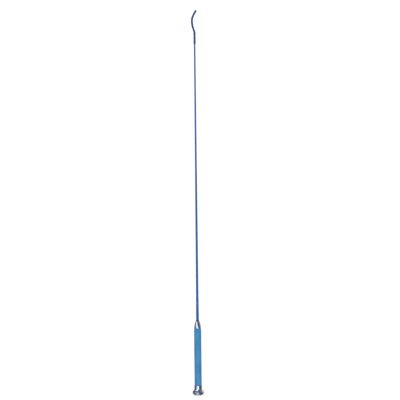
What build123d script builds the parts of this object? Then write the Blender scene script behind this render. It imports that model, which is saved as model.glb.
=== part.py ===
from build123d import *
import math
import os

# A dressage whip: a tapered glass-fibre rod in a braided cover, with a braided lash whipped onto its
# tip, and a handle made of a rigid tube, a soft grip, a plated ferrule above and a plated mushroom
# pommel below. Lengths are in millimetres. Heights are given from the pommel's lowest point, up the
# whip. Each piece is written with the origin at the middle of the grip, where the hand holds it, and
# +Z towards the lash.

# Shaft: (height, outside diameter) of the braided cover, and what it covers
SHAFT_TAPER = ((214, 7.95), (300, 6.7), (450, 6.25), (620, 5.5), (860, 4.65), (1030, 4.3))
SHAFT_TOP = SHAFT_TAPER[-1][0]
BRAID_WALL = 0.575
BRAID_BOTTOM = 197
ROD_BOTTOM = 48

# Lash: its hollow tail slips over the shaft's tip and is bound there by three bands of thread
LASH_RADIUS = 2.8
LASH_CORE_RADIUS = 1.3
TAIL_BOTTOM = 1003
LASH_EXIT = 1036
LASH_ROUTE = (
    (0, 0, LASH_EXIT),
    (-2.2, 0, 1043.5),
    (-5.9, 0, 1054.5),
    (-7.4, 0, 1066),
    (-6.4, 0, 1078),
    (-1.2, 0, 1089),
    (3.8, 0, 1097.2),
)
ARC_SHARE = 0.45
ROOT_GAP = 0.4
WHIPPING_HEIGHTS = {"lower": 1008.5, "middle": 1020.5, "upper": 1032.5}
WHIPPING_LENGTH = 6
WHIPPING_WALL = 0.35
WHIPPING_CHAMFER = 0.15

# Handle tube and what is fixed inside it
TUBE_RADIUS = 7.0
TUBE_BORE = 5.0
TUBE_BOTTOM = 20
TUBE_TOP = 200
UPPER_BUSH = (182, 196)
LOWER_BUSH = (52, 66)
WEIGHT_SPAN = (20.5, 46)
BUSH_CHAMFER = 0.6
TUBE_END_GAP = 0.5

# Grip: straight for most of its length, so that the same stretch serves as the mount
GRIP_RADIUS = 10.2
GRIP_BOTTOM = 27.5
GRIP_TOP = 191.5
GRIP_FOOT_ROUND = 2.5
GRIP_STRAIGHT = (GRIP_BOTTOM + GRIP_FOOT_ROUND, 182)
GRIP_MIDDLE = sum(GRIP_STRAIGHT) / 2
GRIP_TOP_RADIUS = 9.75
GRIP_EDGE_ROUND = 0.9
GRIP_MOUTH_DEPTH = 5.5

# Ferrule and the collar in its mouth
FERRULE_BASE_RADIUS = 9.2
FERRULE_BELLY = (8.15, 202.5)
FERRULE_TOP = 210.5
FERRULE_TOP_RADIUS = 5.25
FERRULE_SKIRT_RADIUS = 8.6
COLLAR_RADIUS = 4.65
COLLAR_SPAN = (205, 213.6)
COLLAR_ROUND = 0.5

# Pommel: cap with a sleeve, a flare and an inner web. The flare turns outwards by its angle, runs
# straight, rounds over at the rim, and draws in a little under it.
CAP_TOP = 28
CAP_RADIUS = 10.93
CAP_BORE = 10.0
CAP_LIP_ROUND = 0.45
FLARE_TOP = 18
FLARE_HOLLOW_RADIUS = 8.0
FLARE_ANGLE = 54
RIM_RADIUS = 16.4
RIM_ROUND = 2.4
UNDERCUT_ROUND = 2.0
UNDERCUT_ANGLE = 15
UNDERCUT_LENGTH = 0.95
WEB_SPAN = (12.5, 15.5)

# Pommel: domed button under the flare, with a shadow groove between the two, and the plug above the web
BUTTON_RADIUS = 16.1
BUTTON_WIDEST = 6.5
SHOULDER_REACH = 0.3
BUTTON_WALL = 1.2
GROOVE_RADIUS = 15.2
GROOVE_WIDTH = 0.5
SPIGOT_RADIUS = 14.6
SPIGOT_WALL = 1.2
SPIGOT_TOP = 10.0
SPIGOT_GAP = 0.2
PLUG_FLOOR_TOP = TUBE_BOTTOM

# Screw and washer that pull the cap on
SCREW_RADIUS = 2.0
SCREW_CLEARANCE = 0.2
SCREW_TOP = 34
SCREW_POINT = 1.0
SCREW_HEAD_RADIUS = 3.6
SCREW_HEAD_HEIGHT = 2.8
RECESS_SIZE = (3.6, 0.8, 3.0)
TAPPED_HOLE_TOP = SCREW_TOP + 4
WASHER_RADIUS = 4.8
WASHER_HEIGHT = 0.8


def turned(*edges):
    """The solid that a closed half section, drawn as (radius, height), makes around the axis."""
    outline = Curve() + list(edges)
    return revolve(make_face(Plane.XZ * outline), Axis.Z)


def turned_outline(*points):
    """The same for an outline of straight lines, given by its corners."""
    return revolve(make_face(Plane.XZ * Polyline(*points, close=True)), Axis.Z)


def ring(inner, outer, bottom, top, chamfer=0):
    """A ring between two radii and two heights, with its two outer edges broken."""
    if chamfer == 0:
        return turned_outline((inner, bottom), (outer, bottom), (outer, top), (inner, top))
    return turned_outline(
        (inner, bottom),
        (outer - chamfer, bottom),
        (outer, bottom + chamfer),
        (outer, top - chamfer),
        (outer - chamfer, top),
        (inner, top),
    )


def quarter_ellipse(top, radius, depth):
    """The outline of a dome that hangs from a height, from its lowest point to its widest."""
    return EllipticalCenterArc((0, top), radius, depth, start_angle=-90, arc_size=90)


def shaft_radius(height):
    """The outside radius of the braided cover at a height."""
    pairs = zip(SHAFT_TAPER, SHAFT_TAPER[1:])
    (low, wide), (high, slim) = next(p for p in pairs if height <= p[1][0])
    share = max(0, (height - low) / (high - low))
    return (wide + (slim - wide) * share) / 2


def save(node, solid):
    """Writes a piece with the origin at the middle of the grip."""
    export_step(Pos(0, 0, -GRIP_MIDDLE) * solid, f"parts/{node}.step")


def core_rod():
    taper = [(diameter / 2 - BRAID_WALL, height) for height, diameter in SHAFT_TAPER]
    thick_end = taper[0][0]
    return turned_outline((0, ROD_BOTTOM), (thick_end, ROD_BOTTOM), *taper, (0, SHAFT_TOP))


def shaft_braid():
    outside = [(diameter / 2, height) for height, diameter in SHAFT_TAPER]
    inside = [(radius - BRAID_WALL, height) for radius, height in reversed(outside)]
    outside.insert(0, (outside[0][0], BRAID_BOTTOM))
    inside.append((inside[-1][0], BRAID_BOTTOM))
    return turned_outline(*outside, *inside)


def run_between(start, end):
    """The direction and the length of a route's straight run."""
    run = Vector(*end) - Vector(*start)
    return run.normalized(), run.length


def lash_tail():
    """The hollow tail over the shaft's tip, with the lash's first stiff millimetres above it."""
    sleeve = turned_outline(
        (shaft_radius(TAIL_BOTTOM), TAIL_BOTTOM),
        (LASH_RADIUS, TAIL_BOTTOM),
        (LASH_RADIUS, LASH_EXIT),
        (0, LASH_EXIT),
        (0, SHAFT_TOP),
        (shaft_radius(SHAFT_TOP), SHAFT_TOP),
    )
    direction, length = run_between(*LASH_ROUTE[:2])
    stub_start = Plane(origin=LASH_ROUTE[0], z_dir=direction)
    stub = extrude(stub_start * Circle(LASH_RADIUS), length - LASH_RADIUS - ROOT_GAP)
    return sleeve + Pos(*LASH_ROUTE[0]) * Sphere(LASH_RADIUS) + stub


def corner_radius(before, corner, after):
    """The arc at a corner of the lash's route: as large as its shorter run allows."""
    run_in, run_out = Vector(*corner) - Vector(*before), Vector(*after) - Vector(*corner)
    turn = math.radians(run_in.get_angle(run_out))
    return ARC_SHARE * min(run_in.length, run_out.length) / math.tan(turn / 2)


def lash_and_core():
    """The free lash from its root to its sealed tip, and the straight yarns inside its braid."""
    route = LASH_ROUTE[1:]
    radii = [corner_radius(*corner) for corner in zip(route, route[1:], route[2:])]
    path = FilletPolyline(*route, radius=radii)
    print("lash radii", [round(radius, 1) for radius in radii], "length", round(path.length, 1))
    root = Plane(origin=route[0], z_dir=run_between(*route[:2])[0])
    core = sweep(root * Circle(LASH_CORE_RADIUS), path=path)
    braid = sweep(root * Circle(LASH_RADIUS), path=path)
    print("lash volume over section times length", braid.volume / (math.pi * LASH_RADIUS**2 * path.length))
    for end in (route[0], route[-1]):
        braid += Pos(*end) * Sphere(LASH_RADIUS)
    return braid - core, core


def whipping(middle):
    half = WHIPPING_LENGTH / 2
    outside = LASH_RADIUS + WHIPPING_WALL
    return ring(LASH_RADIUS, outside, middle - half, middle + half, chamfer=WHIPPING_CHAMFER)


def handle_tube():
    return ring(TUBE_BORE, TUBE_RADIUS, TUBE_BOTTOM, TUBE_TOP, chamfer=BUSH_CHAMFER)


def rod_bush(span):
    rod_radius = shaft_radius(BRAID_BOTTOM) - BRAID_WALL
    return ring(rod_radius, TUBE_BORE, *span, chamfer=BUSH_CHAMFER)


def balance_weight():
    """A brass slug at the tube's lower end, drilled and tapped from below for the pommel's screw."""
    bottom, top = WEIGHT_SPAN
    slug = ring(0, TUBE_BORE, bottom, top, chamfer=BUSH_CHAMFER)
    return slug - Pos(0, 0, bottom) * Cylinder(
        SCREW_RADIUS, TAPPED_HOLE_TOP - bottom, align=(Align.CENTER, Align.CENTER, Align.MIN)
    )


def grip_sleeve():
    foot_top, straight_top = GRIP_STRAIGHT
    foot_inner = GRIP_RADIUS - GRIP_FOOT_ROUND
    edge_inner = GRIP_TOP_RADIUS - GRIP_EDGE_ROUND
    edge_bottom = GRIP_TOP - GRIP_EDGE_ROUND
    mouth_bottom = GRIP_TOP - GRIP_MOUTH_DEPTH
    return turned(
        Line((TUBE_RADIUS, GRIP_BOTTOM), (foot_inner, GRIP_BOTTOM)),
        JernArc((foot_inner, GRIP_BOTTOM), (1, 0), GRIP_FOOT_ROUND, 90),
        Line((GRIP_RADIUS, foot_top), (GRIP_RADIUS, straight_top)),
        Line((GRIP_RADIUS, straight_top), (GRIP_TOP_RADIUS, edge_bottom)),
        JernArc((GRIP_TOP_RADIUS, edge_bottom), (0, 1), GRIP_EDGE_ROUND, 90),
        Polyline(
            (edge_inner, GRIP_TOP),
            (FERRULE_SKIRT_RADIUS, GRIP_TOP),
            (FERRULE_SKIRT_RADIUS, mouth_bottom),
            (TUBE_RADIUS, mouth_bottom),
            (TUBE_RADIUS, GRIP_BOTTOM),
        ),
    )


def ferrule():
    """An egg-shaped cone whose skirt fits the grip's mouth and the tube, and whose mouth takes the collar."""
    skirt_bottom = GRIP_TOP - GRIP_MOUTH_DEPTH
    collar_seat = COLLAR_SPAN[0]
    return turned(
        ThreePointArc(
            (FERRULE_BASE_RADIUS, GRIP_TOP), FERRULE_BELLY, (FERRULE_TOP_RADIUS, FERRULE_TOP)
        ),
        Polyline(
            (FERRULE_TOP_RADIUS, FERRULE_TOP),
            (COLLAR_RADIUS, FERRULE_TOP),
            (COLLAR_RADIUS, collar_seat),
            (TUBE_RADIUS, TUBE_TOP + TUBE_END_GAP),
            (TUBE_RADIUS, skirt_bottom),
            (FERRULE_SKIRT_RADIUS, skirt_bottom),
            (FERRULE_SKIRT_RADIUS, GRIP_TOP),
            (FERRULE_BASE_RADIUS, GRIP_TOP),
        ),
    )


def ferrule_collar():
    bottom, top = COLLAR_SPAN
    inner = shaft_radius(BRAID_BOTTOM)
    round_bottom = top - COLLAR_ROUND
    round_inner = COLLAR_RADIUS - COLLAR_ROUND
    return turned(
        Polyline(
            (round_inner, top),
            (inner, top),
            (inner, bottom),
            (COLLAR_RADIUS, bottom),
            (COLLAR_RADIUS, round_bottom),
        ),
        JernArc((COLLAR_RADIUS, round_bottom), (0, 1), COLLAR_ROUND, 90),
    )


def flare():
    """The flare's outline, from the sleeve's foot over the rim and under it."""
    slope = math.radians(FLARE_ANGLE)
    hollow = JernArc((CAP_RADIUS, FLARE_TOP), (0, -1), FLARE_HOLLOW_RADIUS, FLARE_ANGLE)
    reach = RIM_RADIUS - RIM_ROUND * (1 - math.cos(slope)) - (hollow @ 1).X
    straight = PolarLine(hollow @ 1, reach / math.sin(slope), FLARE_ANGLE - 90)
    rim = JernArc(straight @ 1, straight % 1, RIM_ROUND, -FLARE_ANGLE)
    turn_in = JernArc(rim @ 1, (0, -1), UNDERCUT_ROUND, -UNDERCUT_ANGLE)
    undercut = PolarLine(turn_in @ 1, UNDERCUT_LENGTH, -90 - UNDERCUT_ANGLE)
    return hollow, straight, rim, turn_in, undercut


def seam():
    """The radius and the height of the flare's lower edge, where the button's groove begins."""
    edge = flare()[-1] @ 1
    return edge.X, edge.Y


def pommel_cap():
    """A plain sleeve that opens into a flare, with a web across it that the screw pulls up."""
    web_bottom, web_top = WEB_SPAN
    hole = SCREW_RADIUS + SCREW_CLEARANCE
    lip_bottom = CAP_TOP - CAP_LIP_ROUND
    seam_radius, seam_height = seam()
    return turned(
        ThreePointArc(
            (CAP_BORE, lip_bottom), ((CAP_BORE + CAP_RADIUS) / 2, CAP_TOP), (CAP_RADIUS, lip_bottom)
        ),
        Line((CAP_RADIUS, lip_bottom), (CAP_RADIUS, FLARE_TOP)),
        *flare(),
        Polyline(
            (seam_radius, seam_height),
            (SPIGOT_RADIUS, seam_height),
            (SPIGOT_RADIUS, SPIGOT_TOP + SPIGOT_GAP),
            (SPIGOT_RADIUS - SPIGOT_WALL, SPIGOT_TOP + SPIGOT_GAP),
            (CAP_BORE, web_bottom),
            (hole, web_bottom),
            (hole, web_top),
            (CAP_BORE, web_top),
            (CAP_BORE, lip_bottom),
        ),
    )


def pommel_button():
    """The domed end: a thin dome with a rounded shoulder, a groove, and a spigot that presses in."""
    seam_height = seam()[1]
    groove_bottom = seam_height - GROOVE_WIDTH
    spigot_inner = SPIGOT_RADIUS - SPIGOT_WALL
    shoulder_rise = groove_bottom - BUTTON_WIDEST
    shoulder_inner = BUTTON_RADIUS - SHOULDER_REACH
    body = turned(
        quarter_ellipse(BUTTON_WIDEST, BUTTON_RADIUS, BUTTON_WIDEST),
        EllipticalCenterArc(
            (shoulder_inner, BUTTON_WIDEST), SHOULDER_REACH, shoulder_rise, start_angle=0, arc_size=90
        ),
        Polyline(
            (shoulder_inner, groove_bottom),
            (GROOVE_RADIUS, groove_bottom),
            (GROOVE_RADIUS, seam_height),
            (SPIGOT_RADIUS, seam_height),
            (SPIGOT_RADIUS, SPIGOT_TOP),
            (0, SPIGOT_TOP),
            (0, 0),
        ),
    )
    inner_depth = BUTTON_WIDEST - BUTTON_WALL
    hollow = turned(
        quarter_ellipse(BUTTON_WIDEST, SPIGOT_RADIUS, inner_depth),
        Polyline((SPIGOT_RADIUS, BUTTON_WIDEST), (0, BUTTON_WIDEST), (0, BUTTON_WIDEST - inner_depth)),
    )
    well = Pos(0, 0, BUTTON_WIDEST) * Cylinder(
        spigot_inner, SPIGOT_TOP, align=(Align.CENTER, Align.CENTER, Align.MIN)
    )
    return body - hollow - well


def pommel_plug():
    """The insert above the cap's web: a cup that takes the tube's lower end."""
    return turned_outline(
        (SCREW_RADIUS + SCREW_CLEARANCE, WEB_SPAN[1]),
        (CAP_BORE, WEB_SPAN[1]),
        (CAP_BORE, GRIP_BOTTOM),
        (TUBE_RADIUS, GRIP_BOTTOM),
        (TUBE_RADIUS, PLUG_FLOOR_TOP),
        (SCREW_RADIUS + SCREW_CLEARANCE, PLUG_FLOOR_TOP),
    )


def pommel_washer():
    top = WEB_SPAN[0]
    return ring(SCREW_RADIUS + SCREW_CLEARANCE, WASHER_RADIUS, top - WASHER_HEIGHT, top)


def pommel_screw():
    """A pan-head screw, head down, with a cross recess."""
    seat = WEB_SPAN[0] - WASHER_HEIGHT
    head_bottom = seat - SCREW_HEAD_HEIGHT
    screw = turned(
        quarter_ellipse(seat, SCREW_HEAD_RADIUS, SCREW_HEAD_HEIGHT),
        Polyline(
            (SCREW_HEAD_RADIUS, seat),
            (SCREW_RADIUS, seat),
            (SCREW_RADIUS, SCREW_TOP - SCREW_POINT),
            (SCREW_RADIUS - SCREW_POINT, SCREW_TOP),
            (0, SCREW_TOP),
            (0, head_bottom),
        ),
    )
    arm = Box(*RECESS_SIZE)
    return screw - Pos(0, 0, head_bottom) * (arm + Rot(0, 0, 90) * arm)


os.makedirs("parts", exist_ok=True)
save("core_rod", core_rod())
save("shaft_braid", shaft_braid())
save("lash_tail", lash_tail())
lash, lash_core = lash_and_core()
save("lash", lash)
save("lash_core", lash_core)
for place, height in WHIPPING_HEIGHTS.items():
    save(f"whipping_{place}", whipping(height))
save("handle_tube", handle_tube())
save("upper_bush", rod_bush(UPPER_BUSH))
save("lower_bush", rod_bush(LOWER_BUSH))
save("balance_weight", balance_weight())
save("grip_sleeve", grip_sleeve())
save("ferrule", ferrule())
save("ferrule_collar", ferrule_collar())
save("pommel_cap", pommel_cap())
save("pommel_button", pommel_button())
save("pommel_plug", pommel_plug())
save("pommel_washer", pommel_washer())
save("pommel_screw", pommel_screw())
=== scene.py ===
import math

import bpy
import numpy as np
from mathutils import Euler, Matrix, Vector


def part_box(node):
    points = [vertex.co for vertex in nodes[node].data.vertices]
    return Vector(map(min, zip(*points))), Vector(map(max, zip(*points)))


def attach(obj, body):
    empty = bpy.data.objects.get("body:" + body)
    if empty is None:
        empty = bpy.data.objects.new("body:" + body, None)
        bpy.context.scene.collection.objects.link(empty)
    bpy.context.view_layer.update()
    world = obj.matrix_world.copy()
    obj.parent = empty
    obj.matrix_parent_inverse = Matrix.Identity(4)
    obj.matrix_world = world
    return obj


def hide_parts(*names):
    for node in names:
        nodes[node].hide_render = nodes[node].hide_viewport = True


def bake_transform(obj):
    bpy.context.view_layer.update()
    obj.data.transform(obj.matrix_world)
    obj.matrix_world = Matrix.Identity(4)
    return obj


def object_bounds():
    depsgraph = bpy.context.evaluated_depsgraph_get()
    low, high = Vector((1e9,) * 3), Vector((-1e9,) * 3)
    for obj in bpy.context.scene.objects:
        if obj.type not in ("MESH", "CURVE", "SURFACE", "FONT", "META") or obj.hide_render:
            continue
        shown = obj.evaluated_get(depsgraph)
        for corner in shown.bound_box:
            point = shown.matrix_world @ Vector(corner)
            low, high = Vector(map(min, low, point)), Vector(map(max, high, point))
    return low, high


# The looks of a dressage whip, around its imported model. Lengths are in metres. The origin is the middle
# of the grip, and +Z points to the lash.

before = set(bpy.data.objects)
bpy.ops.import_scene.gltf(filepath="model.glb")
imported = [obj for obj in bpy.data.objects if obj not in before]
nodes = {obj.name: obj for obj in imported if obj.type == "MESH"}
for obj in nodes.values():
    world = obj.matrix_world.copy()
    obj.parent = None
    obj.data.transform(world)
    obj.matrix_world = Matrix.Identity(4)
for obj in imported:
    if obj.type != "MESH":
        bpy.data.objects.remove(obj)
cad_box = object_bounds()
MM = 0.001

# The lash's route, as in part.py
LASH_ROUTE = (
    (0, 0, 0.9300),
    (-0.0022, 0, 0.9375),
    (-0.0059, 0, 0.9485),
    (-0.0074, 0, 0.9600),
    (-0.0064, 0, 0.9720),
    (-0.0012, 0, 0.9830),
    (0.0038, 0, 0.9912),
)
LASH_RADIUS = 2.8 * MM


# ---------------------------------------------------------------- camera, floor and light

# How the whip stands in the picture, as shares of the picture's side
LENGTH_SHARE = 0.9625
SHARE_BELOW_WHIP = 0.0125
MIDDLE_TO_THE_RIGHT = 0.009375
PICTURE_SIDE = (cad_box[1].z - cad_box[0].z) / LENGTH_SHARE
CAMERA_DISTANCE = 2.5
SENSOR_WIDTH = 36.0
LEAN = math.radians(0.6)


def make_camera():
    """Level, in front, a little to the whip's right, and rolled so that the whip's top leans left."""
    data = bpy.data.cameras.new("camera")
    data.sensor_width = SENSOR_WIDTH
    data.lens = SENSOR_WIDTH * CAMERA_DISTANCE / PICTURE_SIDE
    camera = bpy.data.objects.new("camera", data)
    middle = cad_box[0].z + (0.5 - SHARE_BELOW_WHIP) * PICTURE_SIDE
    camera.location = (MIDDLE_TO_THE_RIGHT * PICTURE_SIDE, -CAMERA_DISTANCE, middle)
    camera.rotation_euler = Euler((math.radians(90), LEAN, 0), "YXZ")
    bpy.context.scene.collection.objects.link(camera)
    bpy.context.scene.camera = camera


class Nodes:
    """A node tree, built a node at a time. An input goes by name or number, with a value or an output."""

    def __init__(self, tree):
        self.tree = tree

    def add(self, kind, inputs=None, output=0, **settings):
        node = self.tree.nodes.new(kind)
        for name, value in settings.items():
            setattr(node, name, value)
        for name, value in (inputs or {}).items():
            self.give(node.inputs[name], value)
        return node.outputs[output]

    def give(self, socket, value):
        if isinstance(value, bpy.types.NodeSocket):
            self.tree.links.new(value, socket)
        else:
            socket.default_value = value

    def math(self, operation, a, b=0.0, c=0.0, clamp=False):
        return self.add("ShaderNodeMath", {0: a, 1: b, 2: c}, operation=operation, use_clamp=clamp)

    def between(self, value, low, high, to_low=0.0, to_high=1.0):
        """A value, moved smoothly from one range to another."""
        inputs = {"Value": value, "From Min": low, "From Max": high}
        inputs.update({"To Min": to_low, "To Max": to_high})
        return self.add("ShaderNodeMapRange", inputs, interpolation_type="SMOOTHSTEP")

    def mix(self, share, a, b):
        return self.add("ShaderNodeMix", {0: share, 6: a, 7: b}, output=2, data_type="RGBA")

    def ramp(self, share, stops, interpolation="LINEAR"):
        output = self.add("ShaderNodeValToRGB", {0: share})
        ramp = output.node.color_ramp
        ramp.interpolation = interpolation
        while len(ramp.elements) < len(stops):
            ramp.elements.new(0.5)
        for element, (place, colour) in zip(ramp.elements, stops):
            element.position = place
            element.color = (*colour, 1)
        return output


# The room that the polished metal mirrors, by direction. Level with the whip: degrees round it, 0 towards
# the camera and positive to its right, with the colour there. On the floor and on the ceiling: from -1 at
# the left to 1 at the right, with the colour there. A dark skirting lies between the level and the floor.
ROOM_LEVEL = (
    (-180, (0.30, 0.32, 0.36)),
    (-168, (1.00, 1.00, 1.00)),
    (-156, (0.90, 0.90, 0.90)),
    (-148, (0.03, 0.04, 0.08)),
    (-118, (0.004, 0.008, 0.030)),
    (-102, (0.06, 0.08, 0.15)),
    (-80, (0.11, 0.15, 0.26)),
    (-58, (0.20, 0.27, 0.42)),
    (-46, (0.42, 0.52, 0.70)),
    (-36, (0.15, 0.19, 0.34)),
    (-28, (1.10, 1.14, 1.14)),
    (20, (1.10, 1.14, 1.14)),
    (30, (0.16, 0.18, 0.24)),
    (50, (0.035, 0.045, 0.11)),
    (72, (0.05, 0.065, 0.13)),
    (90, (0.12, 0.14, 0.19)),
    (108, (0.26, 0.28, 0.30)),
    (130, (0.22, 0.23, 0.25)),
    (146, (0.10, 0.11, 0.14)),
    (160, (0.55, 0.55, 0.55)),
    (180, (0.30, 0.32, 0.36)),
)
ROOM_FLOOR = (
    (-0.60, (0.08, 0.12, 0.12)),
    (-0.42, (0.40, 0.54, 0.58)),
    (-0.30, (0.90, 1.00, 0.96)),
    (0.08, (0.90, 1.00, 0.96)),
    (0.22, (0.30, 0.34, 0.34)),
    (0.42, (0.06, 0.09, 0.08)),
    (0.60, (0.03, 0.05, 0.05)),
)
ROOM_CEILING = (
    (-0.70, (0.02, 0.035, 0.07)),
    (-0.42, (0.05, 0.07, 0.15)),
    (-0.25, (0.18, 0.20, 0.44)),
    (-0.08, (0.18, 0.20, 0.44)),
    (0.08, (0.07, 0.09, 0.25)),
    (0.22, (0.11, 0.14, 0.35)),
    (0.38, (0.14, 0.08, 0.38)),
    (0.60, (0.14, 0.11, 0.22)),
)
ROOM_SKIRTING = (0.010, 0.020, 0.030, 1)

# Heights go from -1 straight down to 1 straight up. Each pair is where one band begins to give way to the
# next and where the next one is full. The level's colours shift round the whip by LEVEL_LEAN radians for
# each unit of height, and are as listed at the height LEVEL_UPRIGHT_AT.
CEILING_EDGE = (0.62, 0.80)
SKIRTING_TOP = (-0.46, -0.54)
SKIRTING_FOOT = (-0.85, -0.94)
LEVEL_LEAN = 1.0
LEVEL_UPRIGHT_AT = -0.22

# The soft light that everything but the metal gets, and what the camera sees behind the whip
SOFT_LIGHT_MEAN = 0.765
SOFT_LIGHT_FRONT = 0.45
SOFT_LIGHT_SIDES = 0.36
SOFT_LIGHT_LEFT = 0.05
WHITE_BEHIND = (1.06, 1.06, 1.06, 1)


def mirrored_room(tree, x, y, z):
    """The room's colour in a direction, for the metal."""
    turn = tree.math("ARCTAN2", x, tree.math("MULTIPLY", y, -1.0))
    height = tree.math("SUBTRACT", z, LEVEL_UPRIGHT_AT)
    leaning = tree.math("MULTIPLY_ADD", height, LEVEL_LEAN, turn)
    round_whip = tree.math("FRACT", tree.math("MULTIPLY_ADD", leaning, 0.5 / math.pi, 0.5))
    across = tree.math("MULTIPLY_ADD", x, 0.5, 0.5)

    def bands(share, colours, whole_range):
        return tree.ramp(share, [(0.5 + at / whole_range, colour) for at, colour in colours])

    level = bands(round_whip, ROOM_LEVEL, 360)
    room = tree.mix(tree.between(z, *CEILING_EDGE), level, bands(across, ROOM_CEILING, 2))
    room = tree.mix(tree.between(z, *SKIRTING_TOP), room, ROOM_SKIRTING)
    return tree.mix(tree.between(z, *SKIRTING_FOOT), room, bands(across, ROOM_FLOOR, 2))


def soft_light(tree, x, y):
    """A grey: brighter from the front, a little brighter from the left, and darker from the sides."""
    level = tree.math("MULTIPLY_ADD", y, -SOFT_LIGHT_FRONT, SOFT_LIGHT_MEAN)
    level = tree.math("MULTIPLY_ADD", x, -SOFT_LIGHT_LEFT, level)
    sideways = tree.math("SUBTRACT", tree.math("MULTIPLY", x, x), tree.math("MULTIPLY", y, y))
    level = tree.math("MULTIPLY_ADD", sideways, -SOFT_LIGHT_SIDES, level)
    return tree.add("ShaderNodeCombineColor", {0: level, 1: level, 2: level})


def make_world():
    """White behind the whip, the mirrored room for the metal, and soft light for everything else."""
    world = bpy.data.worlds.new("studio")
    world.use_nodes = True
    bpy.context.scene.world = world
    bpy.context.scene.view_settings.view_transform = "Standard"
    tree = Nodes(world.node_tree)
    direction = tree.add("ShaderNodeTexCoord", output="Generated")
    parts = tree.add("ShaderNodeSeparateXYZ", {0: direction}).node
    x, y, z = (parts.outputs[i] for i in range(3))
    path = tree.add("ShaderNodeLightPath").node.outputs
    seen = tree.mix(path["Is Glossy Ray"], soft_light(tree, x, y), mirrored_room(tree, x, y, z))
    seen = tree.mix(path["Is Camera Ray"], seen, WHITE_BEHIND)
    tree.give(world.node_tree.nodes["Background"].inputs["Color"], seen)


FLOOR_RADIUS = 4.0
FLOOR_COLOUR = (0.55, 0.55, 0.55, 1)
FLOOR_GLOW = 0.62


def make_floor():
    """A pale floor that the pommel stands on. It glows a little, so that only the contact shadow shows."""
    bpy.ops.mesh.primitive_circle_add(
        vertices=96, radius=FLOOR_RADIUS, fill_type="NGON", location=(0, 0, cad_box[0].z)
    )
    floor = bpy.context.object
    floor.name = "floor"
    floor.visible_glossy = False
    floor.visible_diffuse = False
    floor.visible_shadow = False
    material = bpy.data.materials.new("floor_white")
    material.use_nodes = True
    shader = material.node_tree.nodes["Principled BSDF"].inputs
    shader["Base Color"].default_value = FLOOR_COLOUR
    shader["Roughness"].default_value = 0.9
    shader["Specular IOR Level"].default_value = 0
    shader["Emission Color"].default_value = (1, 1, 1, 1)
    shader["Emission Strength"].default_value = FLOOR_GLOW
    floor.data.materials.append(material)


# ---------------------------------------------------------------- materials


class Material(Nodes):
    """A material on the Principled shader."""

    def __init__(self, name, **constants):
        self.material = bpy.data.materials.new(name)
        self.material.use_nodes = True
        super().__init__(self.material.node_tree)
        self.shader = self.material.node_tree.nodes["Principled BSDF"].inputs
        for socket, value in constants.items():
            self.shader[socket.replace("_", " ")].default_value = value

    def place(self, scale=(1, 1, 1)):
        """The object's own coordinates, in metres, scaled."""
        place = self.add("ShaderNodeTexCoord", output="Object")
        return self.add("ShaderNodeMapping", {"Vector": place, "Scale": scale})

    def noise(self, place, scale, detail=2.0, roughness=0.5):
        inputs = {"Vector": place, "Scale": scale, "Detail": detail, "Roughness": roughness}
        return self.add("ShaderNodeTexNoise", inputs)

    def colour(self, value):
        self.give(self.shader["Base Color"], value)

    def roughness(self, value):
        self.give(self.shader["Roughness"], value)

    def bump(self, height, distance, strength=1.0):
        """Raises the surface by a height, times a distance in metres."""
        inputs = {"Height": height, "Distance": distance, "Strength": strength}
        self.give(self.shader["Normal"], self.add("ShaderNodeBump", inputs))


THREAD_MAP = "thread"


def braid_material(name, light, dark, groove_shade, roughness, fibres):
    """Lacquered thread. Across, the thread map counts yarns, so that its fraction is the place across one
    yarn. Along, it rises by two for each yarn that is crossed."""
    m = Material(name, Coat_Weight=0.15, Coat_Roughness=0.22, Specular_IOR_Level=0.30)
    uv = m.add("ShaderNodeUVMap", uv_map=THREAD_MAP)
    parts = m.add("ShaderNodeSeparateXYZ", {0: uv}).node.outputs
    across = m.math("FRACT", parts[0])
    off_centre = m.math("ABSOLUTE", m.math("MULTIPLY_ADD", across, 2.0, -1.0))
    yarn_number = m.math("FLOOR", parts[0])
    yarn_tone = m.add("ShaderNodeTexWhiteNoise", {1: yarn_number}, noise_dimensions="1D")
    strand = m.math("ABSOLUTE", m.math("SINE", m.math("MULTIPLY", across, math.pi * fibres)))
    drawn_out = m.add("ShaderNodeCombineXYZ", {0: m.math("MULTIPLY", parts[0], 14.0), 1: parts[1]})
    fuzz = m.noise(drawn_out, 1.3)
    tone = m.math("MULTIPLY_ADD", yarn_tone, 0.35, m.math("MULTIPLY", fuzz, 0.65))
    patches = m.noise(m.place((1, 1, 0.25)), 60.0)
    tone = m.math("ADD", tone, m.math("MULTIPLY_ADD", patches, 0.5, -0.25), clamp=True)
    colour = m.mix(tone, (*dark, 1), (*light, 1))
    # Painted shade: each yarn's edges turn to the groove_shade colour, standing in for the shade in the
    # grooves between yarns.
    colour = m.mix(m.between(off_centre, 0.62, 1.0), colour, (*groove_shade, 1))
    # Painted shade: the gaps between a yarn's fibres, where the bump is low, are darkened toward the dark
    # colour.
    strand_gap_shade = m.math("MULTIPLY", m.math("SUBTRACT", 1.0, strand), 0.18)
    m.colour(m.mix(strand_gap_shade, colour, (*dark, 1)))
    m.roughness(m.between(fuzz, 0.2, 0.8, roughness - 0.06, roughness + 0.10))
    m.bump(m.math("MULTIPLY_ADD", strand, 0.7, m.math("MULTIPLY", fuzz, 0.3)), 0.05 * MM, 0.8)
    return m.material


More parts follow.
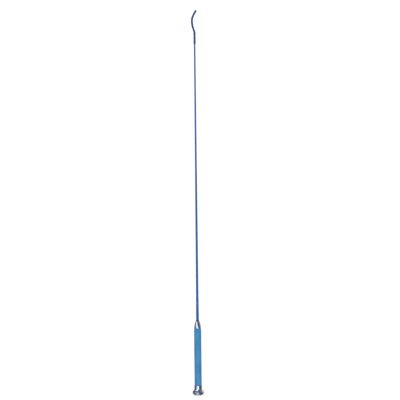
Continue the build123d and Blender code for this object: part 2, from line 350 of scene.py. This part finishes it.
def thread_material(name, light, dark, plies=2, radians_per_mm=9.0):
    """Waxed binding thread. Its map gives the share of a turn round the thread and millimetres along it."""
    m = Material(name, Coat_Weight=0.2, Coat_Roughness=0.3, Specular_IOR_Level=0.4)
    uv = m.add("ShaderNodeUVMap", uv_map=THREAD_MAP)
    parts = m.add("ShaderNodeSeparateXYZ", {0: uv}).node.outputs
    along_thread = m.math("MULTIPLY", parts[1], radians_per_mm)
    twist = m.math("MULTIPLY_ADD", parts[0], 2 * math.pi * plies, along_thread)
    ply_relief_and_shade = m.math("MULTIPLY_ADD", m.math("SINE", twist), 0.5, 0.5)
    fuzz = m.noise(m.place(), 2600.0)
    # Painted shade: the crevices between the plies, where the ply relief is low, are coloured darker. The
    # fuzz part is the thread's own random tone.
    tone = m.math("MULTIPLY_ADD", fuzz, 0.4, m.math("MULTIPLY", ply_relief_and_shade, 0.6))
    m.colour(m.mix(tone, (*dark, 1), (*light, 1)))
    m.roughness(m.between(fuzz, 0.2, 0.8, 0.38, 0.6))
    m.bump(ply_relief_and_shade, 0.04 * MM, 0.8)
    return m.material


def grip_material():
    """Soft rubber with a fine pebbled grain, painted shade in the pits between its pebbles, and the faint
    clouding of moulded foam.
    """
    m = Material("grip_rubber", Specular_IOR_Level=0.38, Sheen_Weight=0.12, Sheen_Roughness=0.45)
    place = m.place()
    clouds = m.noise(m.place((1, 1, 0.45)), 70.0, 3.0)
    grain = m.add("ShaderNodeTexVoronoi", {"Vector": place, "Scale": 1500.0}, feature="SMOOTH_F1")
    pores = m.noise(place, 5200.0, 1.0)
    colour = m.mix(m.between(clouds, 0.3, 0.7), (0.030, 0.200, 0.425, 1), (0.046, 0.256, 0.510, 1))
    # Painted shade: where the pebbled grain sinks, between the pebbles, the colour is darkened toward a
    # deeper blue.
    m.colour(m.mix(m.between(grain, 0.30, 0.90, 0.0, 0.16), colour, (0.022, 0.135, 0.300, 1)))
    m.roughness(m.between(clouds, 0.3, 0.7, 0.50, 0.60))
    height = m.math("MULTIPLY_ADD", grain, -0.8, m.math("MULTIPLY", pores, 0.25))
    m.bump(height, 0.07 * MM, 0.7)
    return m.material


def chrome_material():
    """Polished plating: faint turning marks round the axis, hairline scratches and a slight haze."""
    m = Material("chrome_plating", Metallic=1.0)
    rings = m.noise(m.place((1, 1, 60)), 40.0, 3.0)
    scratches = m.noise(m.place((1, 1, 0.04)), 900.0, 4.0, 0.6)
    haze = m.noise(m.place(), 160.0, 3.0)
    m.colour(m.mix(haze, (0.78, 0.80, 0.84, 1), (0.88, 0.89, 0.91, 1)))
    m.roughness(m.math("MULTIPLY_ADD", scratches, 0.05, m.between(haze, 0.35, 0.75, 0.035, 0.085)))
    m.bump(m.math("MULTIPLY_ADD", rings, 0.6, m.math("MULTIPLY", scratches, 0.4)), 0.004 * MM, 0.35)
    return m.material


def collar_material():
    """Dark blue rubber with a fine, dull grain."""
    m = Material("collar_rubber", Specular_IOR_Level=0.4)
    grain = m.noise(m.place(), 2400.0, 3.0)
    m.colour(m.mix(grain, (0.006, 0.022, 0.120, 1), (0.014, 0.052, 0.220, 1)))
    m.roughness(m.between(grain, 0.3, 0.7, 0.38, 0.55))
    m.bump(grain, 0.05 * MM, 0.5)
    return m.material


def grained_material(name, dark, light, roughness, scale, stretch=(1, 1, 1), metallic=0.0, height=0.02):
    """A plain stuff with a grain, which may be stretched along or round the whip. Its height is in
    millimetres."""
    m = Material(name, Metallic=metallic)
    grain = m.noise(m.place(stretch), scale, 4.0, 0.6)
    m.colour(m.mix(m.between(grain, 0.3, 0.7), (*dark, 1), (*light, 1)))
    m.roughness(m.between(grain, 0.3, 0.7, roughness - 0.07, roughness + 0.07))
    m.bump(grain, height * MM, 0.5)
    return m.material


def hidden_materials():
    """What is inside: each node's material."""
    fibreglass = grained_material(
        "glass_fibre",
        dark=(0.16, 0.17, 0.14),
        light=(0.34, 0.35, 0.29),
        roughness=0.35,
        scale=3000.0,
        stretch=(1, 1, 0.01),
    )
    tube = grained_material(
        "tube_plastic",
        dark=(0.010, 0.010, 0.011),
        light=(0.022, 0.022, 0.024),
        roughness=0.45,
        scale=900.0,
    )
    nylon = grained_material(
        "nylon_natural",
        dark=(0.55, 0.53, 0.46),
        light=(0.68, 0.66, 0.60),
        roughness=0.42,
        scale=700.0,
    )
    brass = grained_material(
        "turned_brass",
        dark=(0.52, 0.36, 0.12),
        light=(0.70, 0.52, 0.22),
        roughness=0.28,
        scale=60.0,
        stretch=(1, 1, 80),
        metallic=1.0,
        height=0.01,
    )
    steel = grained_material(
        "zinc_plated_steel",
        dark=(0.42, 0.43, 0.45),
        light=(0.58, 0.59, 0.61),
        roughness=0.32,
        scale=900.0,
        metallic=1.0,
        height=0.01,
    )
    return {
        "core_rod": fibreglass,
        "handle_tube": tube,
        "upper_bush": nylon,
        "lower_bush": nylon,
        "pommel_plug": nylon,
        "balance_weight": brass,
        "pommel_washer": steel,
        "pommel_screw": steel,
    }


# ---------------------------------------------------------------- mesh tools


def new_piece(name, vertices, faces, material, thread_map=None):
    """A smooth mesh object. The thread map holds one pair of numbers for each corner of each face."""
    mesh = bpy.data.meshes.new(name)
    mesh.from_pydata(vertices, [], faces)
    mesh.update()
    mesh.polygons.foreach_set("use_smooth", [True] * len(mesh.polygons))
    if thread_map is not None:
        layer = mesh.uv_layers.new(name=THREAD_MAP)
        layer.data.foreach_set("uv", np.asarray(thread_map, np.float32).ravel())
    mesh.materials.append(material)
    piece = bpy.data.objects.new(name, mesh)
    bpy.context.scene.collection.objects.link(piece)
    return piece


def along(line):
    """The distance of each point of a line from its start."""
    return np.concatenate([[0], np.cumsum(np.linalg.norm(np.diff(line, axis=0), axis=1))])


LOOK_AHEAD = 0.4 * MM


def frames_on(line, distances):
    """Points on a line in the plane y = 0 and the two directions across it at each."""
    at = along(line)

    def places(where):
        return np.stack([np.interp(where, at, line[:, k]) for k in range(3)], axis=1)

    points = places(distances)
    forward = places(distances + LOOK_AHEAD) - places(distances - LOOK_AHEAD)
    forward /= np.linalg.norm(forward, axis=1)[:, None]
    sideways = np.stack([forward[:, 2], np.zeros(len(points)), -forward[:, 0]], axis=1)
    deep = np.cross(forward, sideways)
    return points, sideways, deep


class Braid:
    """A two-over, two-under tubular braid. Vertices lie where the yarns' own lines cross: a vertex is on
    ring r at half-step t. Counted in yarns, (t + r) gives u, across the first family, and (t - r) gives v,
    across the second."""

    # How round a yarn is across and along its float, and how high its crown is where it dives
    CROWN_SHAPE = 0.7
    ARCH_SHAPE = 0.6
    LOW_CROWN = 0.25

    # On the thread map, the second family's yarns are numbered from here, and a place along a yarn rises by
    # so much for each yarn that it crosses. Faces that are not thread have one place.
    SECOND_FAMILY_FROM = 64
    MAP_PER_CROSSING = 2.0
    PLAIN_CORNER = (0.5, 0.5)

    RINGS_PER_INNER_RING = 8

    def __init__(self, yarns, steps, pitch, relief):
        self.steps = steps
        self.around = yarns * steps
        self.spacing = pitch / (2 * self.around)
        self.relief = relief

    def top_yarn(self, u, v):
        """Whether the first family is on top, and the place across and along the top yarn's float."""
        cell = (np.floor(u) + np.floor(v)) % 4
        first = cell < 2
        across = np.where(first, u, v) % 1
        float_part = np.where(first, cell + v % 1, cell - 2 + u % 1)
        return first, across, float_part

    def height(self, u, v):
        """From 0 in the grooves to 1 on a yarn's crown."""
        _, across, float_part = self.top_yarn(u, v)
        crown = np.sin(np.pi * across) ** self.CROWN_SHAPE
        arch = np.sin(np.pi * float_part / 2) ** self.ARCH_SHAPE
        return crown * (self.LOW_CROWN + (1 - self.LOW_CROWN) * arch)

    def tube(self, name, line, radius_at, inner_radius_at, material, relief_at=None):
        """A hollow braided tube along a line. The radii, and the share of the relief, go by distance."""
        length = along(line)[-1]
        rings = 2 * round(length / self.spacing / 2)
        ring = np.repeat(np.arange(rings + 1), self.around)
        half_step = np.tile(2 * np.arange(self.around), rings + 1) + ring % 2
        distance = np.arange(rings + 1) * (length / rings)
        points, sideways, deep = frames_on(line, distance)
        u = (half_step + ring) / 2 / self.steps
        v = (half_step - ring) / 2 / self.steps
        relief = self.relief * (1 if relief_at is None else relief_at(distance)[ring])
        radius = radius_at(distance)[ring] - relief * (1 - self.height(u, v))
        angle = np.pi * half_step / self.around
        outside = (
            points[ring]
            + (radius * np.cos(angle))[:, None] * sideways[ring]
            + (radius * np.sin(angle))[:, None] * deep[ring]
        )
        straight = len(line) == 2
        inner_rings = 2 if straight else max(2, rings // self.RINGS_PER_INNER_RING)
        inner_distance = np.linspace(0, length, inner_rings)
        inside = self.bore(line, inner_distance, inner_radius_at(inner_distance))
        faces, corners = self.quads(rings)
        walls = self.walls(rings, len(outside), inner_rings)
        corners += [self.PLAIN_CORNER] * sum(len(face) for face in walls)
        vertices = np.concatenate([outside, inside])
        return new_piece(name, vertices.tolist(), faces + walls, material, corners)

    def bore(self, line, distance, radius):
        """The vertices of the inside, ring by ring."""
        points, sideways, deep = frames_on(line, distance)
        turn = 2 * np.pi * np.arange(self.around) / self.around
        out_sideways = np.cos(turn)[None, :, None] * sideways[:, None]
        out_deep = np.sin(turn)[None, :, None] * deep[:, None]
        return (points[:, None] + radius[:, None, None] * (out_sideways + out_deep)).reshape(-1, 3)

    def walls(self, rings, start, inner_rings):
        """The faces that close both ends, and the inside's. The inside's vertices begin at start."""
        around = self.around
        top = rings * around
        last_inner = start + (inner_rings - 1) * around
        walls = []
        for k in range(around):
            after = (k + 1) % around
            walls.append((k, after, start + after, start + k))
            walls.append((top + after, top + k, last_inner + k, last_inner + after))
            for i in range(inner_rings - 1):
                low, high = start + i * around, start + (i + 1) * around
                walls.append((low + k, low + after, high + after, high + k))
        return walls

    def quads(self, rings):
        """The faces between the crossings, with the triangles that even out both ends, and their corners on
        the thread map."""
        around = self.around
        faces, corners = [], []

        def index(r, t):
            return r * around + ((t - r % 2) // 2) % around

        def add(*members):
            faces.append(tuple(index(r, t) for r, t in members))
            u = np.array([(t + r) / 2 for r, t in members]) / self.steps
            v = np.array([(t - r) / 2 for r, t in members]) / self.steps
            first, _, _ = self.top_yarn(u.mean(), v.mean())
            across, length = (u, v) if first else (v + self.SECOND_FAMILY_FROM, u)
            corners.extend(zip(across, length * self.MAP_PER_CROSSING))

        for r in range(rings + 1):
            for k in range(around):
                t = 2 * k + r % 2
                if r + 2 <= rings:
                    add((r, t), (r + 1, t + 1), (r + 2, t), (r + 1, t - 1))
                if r == 0:
                    add((0, t), (0, t + 2), (1, t + 1))
                if r == rings:
                    add((rings, t + 2), (rings, t), (rings - 1, t + 1))
        return faces, corners


def lathe(name, outline, around, material):
    """A closed outline of (radius, height) turned round the axis."""
    count = len(outline)
    angle = 2 * np.pi * np.arange(around) / around
    radius, height = np.array(outline).T
    vertices = np.stack(
        [
            np.outer(np.cos(angle), radius),
            np.outer(np.sin(angle), radius),
            np.tile(height, (around, 1)),
        ],
        axis=2,
    ).reshape(-1, 3)
    faces = []
    for k in range(around):
        this, after = k * count, (k + 1) % around * count
        for i in range(count):
            above = (i + 1) % count
            faces.append((this + i, after + i, after + above, this + above))
    return new_piece(name, vertices.tolist(), faces, material)


# ---------------------------------------------------------------- pieces


# The braids, and how far a yarn's crown stands out of the CAD model's surface
SHAFT_WEAVE = Braid(yarns=8, steps=4, pitch=20 * MM, relief=0.13 * MM)
SHAFT_CROWN_PROUD = 0.06 * MM
LASH_WEAVE = Braid(yarns=8, steps=6, pitch=17 * MM, relief=0.22 * MM)
LASH_CROWN_PROUD = 0.10 * MM


def stand_for(piece, node):
    """A piece of the whip's body, in place of a CAD node."""
    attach(piece, "whip")
    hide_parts(node)
    return piece


def rod_radius(height):
    """The radius of the tapered core rod at a height, from the rings of its CAD node."""
    rings = {}
    for vertex in nodes["core_rod"].data.vertices:
        place = round(vertex.co.z, 6)
        rings[place] = max(rings.get(place, 0), math.hypot(vertex.co.x, vertex.co.y))
    places = sorted(rings)
    return np.interp(height, places, [rings[place] for place in places])


def shaft_radius(height):
    """The radius over the braided cover, whose wall is even."""
    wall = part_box("shaft_braid")[1].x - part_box("core_rod")[1].x
    return rod_radius(height) + wall


def make_shaft_braid(material):
    """The braided cover of the tapered rod."""
    low, high = (corner.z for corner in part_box("shaft_braid"))
    piece = SHAFT_WEAVE.tube(
        "shaft_braid_cover",
        np.array([(0, 0, low), (0, 0, high)]),
        lambda distance: shaft_radius(low + distance) + SHAFT_CROWN_PROUD,
        lambda distance: rod_radius(low + distance),
        material,
    )
    stand_for(piece, "shaft_braid")


TAIL_TOP_UNDER_EXIT = 2.5 * MM
TAIL_CLEARANCE = 0.03 * MM
TAIL_FOOT_DROP = 0.25 * MM
TAIL_FOOT_ROUND = 1.2 * MM


def make_lash_tail(material):
    """The lash's hollow tail, drawn over the shaft's end, with its foot a little rounded."""
    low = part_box("lash_tail")[0].z
    high = LASH_ROUTE[0][2] - TAIL_TOP_UNDER_EXIT

    def radius_at(distance):
        near_foot = np.clip(1 - distance / TAIL_FOOT_ROUND, 0, 1)
        return LASH_RADIUS + LASH_CROWN_PROUD - TAIL_FOOT_DROP * near_foot**2

    piece = LASH_WEAVE.tube(
        "lash_tail_braid",
        np.array([(0, 0, low), (0, 0, high)]),
        radius_at,
        lambda distance: shaft_radius(low + distance) + TAIL_CLEARANCE,
        material,
    )
    return stand_for(piece, "lash_tail")


def route_line(route):
    """The smooth line of a route: a NURBS spline with the route's points as its control points."""
    curve = bpy.data.curves.new("route", "CURVE")
    curve.dimensions = "3D"
    curve.resolution_u = 24
    spline = curve.splines.new("NURBS")
    spline.points.add(len(route) - 1)
    for point, place in zip(spline.points, route):
        point.co = (*place, 1)
    spline.order_u = 3
    spline.use_endpoint_u = True
    holder = bpy.data.objects.new("route", curve)
    mesh = bpy.data.meshes.new_from_object(holder)
    line = np.array([vertex.co for vertex in mesh.vertices])
    bpy.data.objects.remove(holder)
    bpy.data.curves.remove(curve)
    bpy.data.meshes.remove(mesh)
    return line


def bend_at_root(piece):
    """Bakes the piece's placement into its mesh. The lash keeps the shape of its line."""
    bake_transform(piece)


# The yarns inside the lash, which make one turn round it in each CORE_TWIST
CORE_YARN_RADIUS = 0.42 * MM
CORE_YARNS_ROUND = 6
CORE_TWIST = 90 * MM
CORE_STEP = 0.5 * MM
CORE_SIDES = 10


def make_lash_core(route, material):
    """The slightly twisted yarns inside the lash's braid: one in the middle and the rest round it."""
    length = along(route)[-1]
    distance = np.arange(0, length, CORE_STEP)
    points, sideways, deep = frames_on(route, distance)
    angle = 2 * np.pi * np.arange(CORE_SIDES) / CORE_SIDES
    rings = len(distance)
    vertices, faces = [], []
    for yarn in range(CORE_YARNS_ROUND + 1):
        out = 2 * CORE_YARN_RADIUS if yarn else 0
        turn = 2 * np.pi * (yarn / CORE_YARNS_ROUND + distance / CORE_TWIST)
        centre = points + (out * np.cos(turn))[:, None] * sideways
        centre += (out * np.sin(turn))[:, None] * deep
        first = len(vertices)
        for k in range(rings):
            ring = (
                centre[k]
                + CORE_YARN_RADIUS * np.outer(np.cos(angle), sideways[k])
                + CORE_YARN_RADIUS * np.outer(np.sin(angle), deep[k])
            )
            vertices += [tuple(place) for place in ring]
        for k in range(rings - 1):
            low, high = first + k * CORE_SIDES, first + (k + 1) * CORE_SIDES
            for i in range(CORE_SIDES):
                after = (i + 1) % CORE_SIDES
                faces.append((low + i, low + after, high + after, high + i))
        faces.append(tuple(first + i for i in reversed(range(CORE_SIDES))))
        faces.append(tuple(first + (rings - 1) * CORE_SIDES + i for i in range(CORE_SIDES)))
    piece = new_piece("lash_core_yarns", vertices, faces, material)
    bend_at_root(piece)
    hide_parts("lash_core")
    return piece


LASH_STARTS_UNDER_EXIT = 4 * MM
CORE_CLEARANCE = 0.06 * MM

# Towards the tip the braid melts smooth over this length, the bore is no more than this share of the
# outside, and the round end stops just short of closing.
TIP_SMOOTH_OVER = 5 * MM
TIP_SMOOTH_SHAPE = 0.7
TIP_BORE_SHARE = 0.55
TIP_CLOSES_AT = 0.998


def make_lash(material, core_material, tail):
    """The free lash, from under the last whipping to its heat-sealed round tip."""
    route = route_line(LASH_ROUTE)
    hidden_start = np.array([(0, 0, LASH_ROUTE[0][2] - LASH_STARTS_UNDER_EXIT)])
    forward = route[-1] - route[-2]
    tip = route[-1] + forward / np.linalg.norm(forward) * LASH_RADIUS
    line = np.concatenate([hidden_start, route, [tip]])
    length = along(line)[-1]
    round_from = length - LASH_RADIUS
    bore = 3 * CORE_YARN_RADIUS + CORE_CLEARANCE

    def radius_at(distance):
        past = np.clip((distance - round_from) / LASH_RADIUS, 0, TIP_CLOSES_AT)
        return (LASH_RADIUS + LASH_CROWN_PROUD) * np.sqrt(1 - past**2)

    def relief_at(distance):
        return np.clip((length - distance) / TIP_SMOOTH_OVER, 0.0, 1.0) ** TIP_SMOOTH_SHAPE

    piece = LASH_WEAVE.tube(
        "lash_braid",
        line,
        radius_at,
        lambda distance: np.minimum(radius_at(distance) * TIP_BORE_SHARE, bore),
        material,
        relief_at,
    )
    bend_at_root(piece)
    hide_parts("lash")
    make_lash_core(route, core_material)


THREAD_RADIUS = 0.21 * MM
THREAD_PITCH = 0.375 * MM
THREAD_SINK = 0.04 * MM
THREAD_END_TUCK = 0.22 * MM
THREAD_SIDES = 8
THREAD_STEPS_PER_TURN = 28


def make_whipping(node, material):
    """Thread wound side by side round the lash's tail. Each end is tucked in over half a turn."""
    low, high = (corner.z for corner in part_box(node))
    climb = high - low - 2 * THREAD_RADIUS
    turns = climb / THREAD_PITCH
    steps = round(turns * THREAD_STEPS_PER_TURN)
    share = np.linspace(0, 1, steps + 1)
    angle = 2 * np.pi * turns * share
    height = low + THREAD_RADIUS + climb * share
    wound = LASH_RADIUS + THREAD_RADIUS - THREAD_SINK
    tucked = np.clip(1 - share * turns * 2, 0, 1) + np.clip(1 - (1 - share) * turns * 2, 0, 1)
    radius = wound - THREAD_END_TUCK * tucked
    up = np.array([0, 0, 1])
    sides = THREAD_SIDES
    vertices, faces, corners = [], [], []
    for i in range(steps + 1):
        out = np.array([math.cos(angle[i]), math.sin(angle[i]), 0])
        centre = out * radius[i] + up * height[i]
        for k in range(sides):
            turn = 2 * math.pi * k / sides
            vertices.append(tuple(centre + THREAD_RADIUS * (math.cos(turn) * out + math.sin(turn) * up)))
    map_step = 2 * math.pi * wound * turns / steps / MM
    for i in range(steps):
        low_ring, high_ring = i * sides, (i + 1) * sides
        here, there = i * map_step, (i + 1) * map_step
        for k in range(sides):
            after = (k + 1) % sides
            faces.append((low_ring + k, high_ring + k, high_ring + after, low_ring + after))
            side, next_side = k / sides, (k + 1) / sides
            corners += [(side, here), (side, there), (next_side, there), (next_side, here)]
    faces.append(tuple(range(sides)))
    faces.append(tuple(reversed(range(steps * sides, (steps + 1) * sides))))
    corners += [Braid.PLAIN_CORNER] * (2 * sides)
    piece = new_piece(node + "_thread", vertices, faces, material, corners)
    stand_for(piece, node)


# The grip's outline, as in part.py
GRIP_FOOT_ROUND = 2.5 * MM
GRIP_EDGE_ROUND = 0.9 * MM
GRIP_TOP_RADIUS = 9.75 * MM
GRIP_TAPER = 9.5 * MM
GRIP_MOUTH_DEPTH = 5.5 * MM
FERRULE_SKIRT_RADIUS = 8.6 * MM

# How finely the soft sleeve is divided
GRIP_SIDES = 96
GRIP_STRAIGHT_STEPS = 119
GRIP_TAPER_STEPS = 8
GRIP_FOOT_DEGREES = range(-80, 1, 8)
GRIP_EDGE_DEGREES = range(12, 91, 13)


def arc(centre, radius, degrees):
    """An outline's points on an arc, by degrees up from straight out."""
    turns = [math.radians(a) for a in degrees]
    return [(centre[0] + radius * math.cos(a), centre[1] + radius * math.sin(a)) for a in turns]


def straight(start, end, steps):
    """An outline's points on a straight stretch, after its start."""
    shares = np.linspace(0, 1, steps + 1)[1:]
    return [tuple(a + (b - a) * share for a, b in zip(start, end)) for share in shares]


def make_grip(material):
    """The soft sleeve, drawn over the tube and taking the ferrule's foot in its mouth."""
    low, high = (corner.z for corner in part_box("grip_sleeve"))
    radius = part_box("grip_sleeve")[1].x
    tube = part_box("handle_tube")[1].x
    foot, edge = GRIP_FOOT_ROUND, GRIP_EDGE_ROUND
    straight_top = high - GRIP_TAPER
    mouth = high - GRIP_MOUTH_DEPTH
    outline = [(tube, low), (radius - foot, low)]
    outline += arc((radius - foot, low + foot), foot, GRIP_FOOT_DEGREES)
    outline += straight((radius, low + foot), (radius, straight_top), GRIP_STRAIGHT_STEPS)
    outline += straight((radius, straight_top), (GRIP_TOP_RADIUS, high - edge), GRIP_TAPER_STEPS)
    outline += arc((GRIP_TOP_RADIUS - edge, high - edge), edge, GRIP_EDGE_DEGREES)
    outline += [(FERRULE_SKIRT_RADIUS, high), (FERRULE_SKIRT_RADIUS, mouth), (tube, mouth)]
    piece = lathe("grip_soft_sleeve", outline, GRIP_SIDES, material)
    soften(piece, low, radius)
    stand_for(piece, "grip_sleeve")


# Each fold: its height over the grip's foot, its half width and its depth
FOLDS = ((6.5 * MM, 0.9 * MM, 0.10 * MM), (10.1 * MM, 0.8 * MM, 0.06 * MM))
FOLD_WANDER = 0.8 * MM
FOAM_SWELL = 0.05 * MM
FOAM_SKIN = 0.6 * MM


def soften(piece, low, radius):
    """Uneven by some hundredths of a millimetre, as soft foam is, and pressed into folds above the cap.
    Only the outside moves. The waves are so many round the grip, and so many radians a metre up it."""
    mesh = piece.data
    places = np.array([vertex.co for vertex in mesh.vertices])
    distance = np.hypot(places[:, 0], places[:, 1])
    angle = np.arctan2(places[:, 1], places[:, 0])
    height = places[:, 2]
    wave = np.sin(2 * angle + height * 70) * np.sin(height * 43 + 0.7)
    wave += 0.6 * np.sin(3 * angle - height * 120 + 2)
    shift = FOAM_SWELL * wave
    wander = FOLD_WANDER * np.sin(angle + 0.6)
    for above_foot, half_width, depth in FOLDS:
        shift -= depth * np.exp(-(((height - low - above_foot - wander) / half_width) ** 2))
    outside = distance > radius - FOAM_SKIN
    places[:, :2] *= ((distance + shift * outside) / distance)[:, None]
    mesh.vertices.foreach_set("co", places.ravel())
    mesh.update()


def dress(node, material):
    """Gives a CAD node its material in place of the one it was packed with."""
    mesh = nodes[node].data
    mesh.materials.clear()
    mesh.materials.append(material)


make_camera()
make_world()
make_floor()

shaft_thread = braid_material(
    "shaft_thread",
    light=(0.024, 0.155, 0.445),
    dark=(0.009, 0.088, 0.310),
    # groove_shade: the painted shade colour in the grooves between the shaft's yarns
    groove_shade=(0.003, 0.038, 0.150),
    roughness=0.34,
    fibres=5,
)
lash_thread = braid_material(
    "lash_thread",
    light=(0.014, 0.092, 0.285),
    dark=(0.005, 0.048, 0.175),
    # groove_shade: the painted shade colour in the grooves between the lash's yarns
    groove_shade=(0.002, 0.018, 0.080),
    roughness=0.42,
    fibres=6,
)
binding_thread = thread_material(
    "binding_thread",
    light=(0.024, 0.108, 0.325),
    dark=(0.010, 0.052, 0.180),
)
core_yarn = grained_material(
    "core_yarn",
    dark=(0.42, 0.42, 0.40),
    light=(0.66, 0.66, 0.62),
    roughness=0.8,
    scale=4000.0,
    stretch=(1, 1, 0.05),
)
chrome = chrome_material()

make_shaft_braid(shaft_thread)
make_lash(lash_thread, core_yarn, make_lash_tail(lash_thread))
for place in ("lower", "middle", "upper"):
    make_whipping(f"whipping_{place}", binding_thread)
make_grip(grip_material())
for node in ("ferrule", "pommel_cap", "pommel_button"):
    dress(node, chrome)
dress("ferrule_collar", collar_material())
for node, material in hidden_materials().items():
    dress(node, material)
